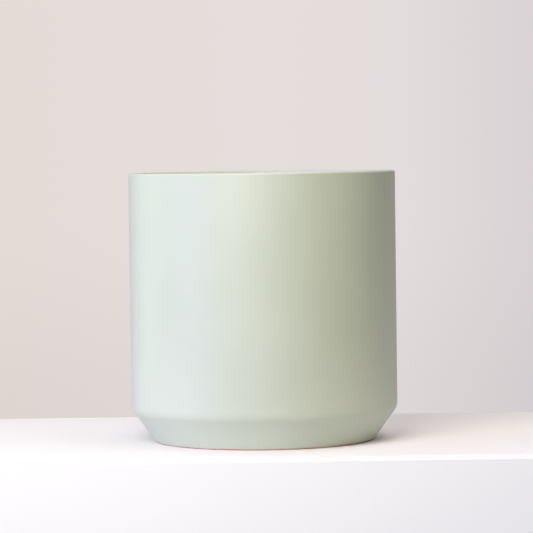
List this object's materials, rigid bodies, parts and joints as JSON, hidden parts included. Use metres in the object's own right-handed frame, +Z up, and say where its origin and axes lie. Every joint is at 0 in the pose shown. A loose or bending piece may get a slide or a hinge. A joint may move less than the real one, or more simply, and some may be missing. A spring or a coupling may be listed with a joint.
{
  "type": "brush holder pot",
  "caption": "Round straight-walled pot with a bevelled base and an open top, which stands on a bare clay foot ring and holds brushes and pens upright.",
  "frame": {"origin": "middle of the foot ring's contact circle, on the plane the pot stands on", "axes": "+Z up along the pot's axis, out of its mouth; the pot is a solid of revolution, so X and Y are any two level directions at right angles"},
  "size_m": [0.15, 0.15, 0.151],
  "materials": {
    "terracotta": "matte",
    "sage_glaze": "satin"
  },
  "bodies": {
    "root": {"terracotta_body": "terracotta", "outer_glaze": "sage_glaze", "inner_glaze": "sage_glaze"}
  },
  "joints": []
}
